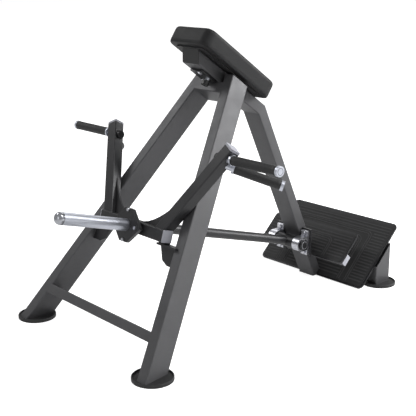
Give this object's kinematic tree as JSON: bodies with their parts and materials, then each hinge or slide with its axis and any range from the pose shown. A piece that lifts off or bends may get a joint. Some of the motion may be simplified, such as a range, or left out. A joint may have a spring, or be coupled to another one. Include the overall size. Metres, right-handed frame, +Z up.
{
  "type": "incline lever row machine",
  "caption": "Chest-supported incline row machine: splayed tube legs, sloped chest pad, ribbed foot plates and a pivoting lever with grips and a plate horn.",
  "frame": {"origin": "on the floor, under the middle of the machine", "axes": "+Z up, +X from the weight horn towards the foot plates, +Y towards the user's right hand as the user faces the pad"},
  "size_m": [1.6995, 1.288, 1.2272],
  "materials": {
    "frame_paint": "dark metallic grey powder coat, satin",
    "lever_paint": "black powder coat, satin",
    "vinyl": "black upholstery vinyl, low sheen",
    "board": "black painted board",
    "rubber": "matte black",
    "cap_plastic": "light grey, matte",
    "chrome": "polished",
    "zinc": "zinc plated, satin",
    "black_plastic": "black, low gloss",
    "black_steel": "oiled black oxide steel, satin"
  },
  "bodies": {
    "frame": {"bearing_block_left": "zinc", "bearing_block_right": "zinc", "bearing_bolts": "zinc", "bearing_inserts": "black_steel", "bearing_plate": "lever_paint", "carrier_cap": "black_plastic", "carrier_tube": "frame_paint", "clamp_bolts": "zinc", "clamp_plate": "lever_paint", "foot_front_left": "rubber", "foot_front_right": "rubber", "foot_rear_left": "rubber", "foot_rear_right": "rubber", "front_brace": "frame_paint", "head_cross": "frame_paint", "leg_left": "frame_paint", "leg_right": "frame_paint", "main_plate": "lever_paint", "main_tread": "rubber", "pad_board": "board", "pad_cushion": "vinyl", "pin_bushing": "chrome", "plate_brackets": "frame_paint", "rear_cross": "frame_paint", "rear_post_left": "frame_paint", "rear_post_right": "frame_paint", "rear_rail": "frame_paint", "rest_brackets": "lever_paint", "rest_pads": "rubber", "spine": "frame_paint", "spine_foot": "frame_paint", "step_plate": "lever_paint", "step_tread": "rubber", "step_tube": "frame_paint", "step_tube_caps": "cap_plastic"},
    "lever": {"arm_caps": "cap_plastic", "arm_left": "lever_paint", "arm_right": "lever_paint", "beam": "lever_paint", "beam_caps": "cap_plastic", "beam_flange": "lever_paint", "flange_bolts": "zinc", "grip_angled_bar_left": "chrome", "grip_angled_bar_right": "chrome", "grip_angled_sleeve_left": "rubber", "grip_angled_sleeve_right": "rubber", "grip_bosses": "lever_paint", "grip_wide_bar_left": "chrome", "grip_wide_bar_right": "chrome", "grip_wide_sleeve_left": "rubber", "grip_wide_sleeve_right": "rubber", "gussets": "lever_paint", "horn_cap": "chrome", "horn_flange": "lever_paint", "hub": "lever_paint", "lever_tube": "lever_paint", "pivot_shaft": "black_steel", "shaft_collars": "black_steel", "weight_horn": "chrome"},
    "pull_pin": {"pull_pin": "black_plastic"}
  },
  "joints": [
    {"name": "lever_hinge", "type": "hinge", "parent": "frame", "child": "lever", "pos_m": [0.428, 0, 0.202], "axis": [0, 1, 0], "range_deg": [0, 26]},
    {"name": "pull_pin_slide", "type": "slide", "parent": "frame", "child": "pull_pin", "axis": [-0.5664, 0, -0.8241], "range_m": [0, 0.01], "stiffness_N_per_m": 800, "springref_m": -0.005}
  ]
}
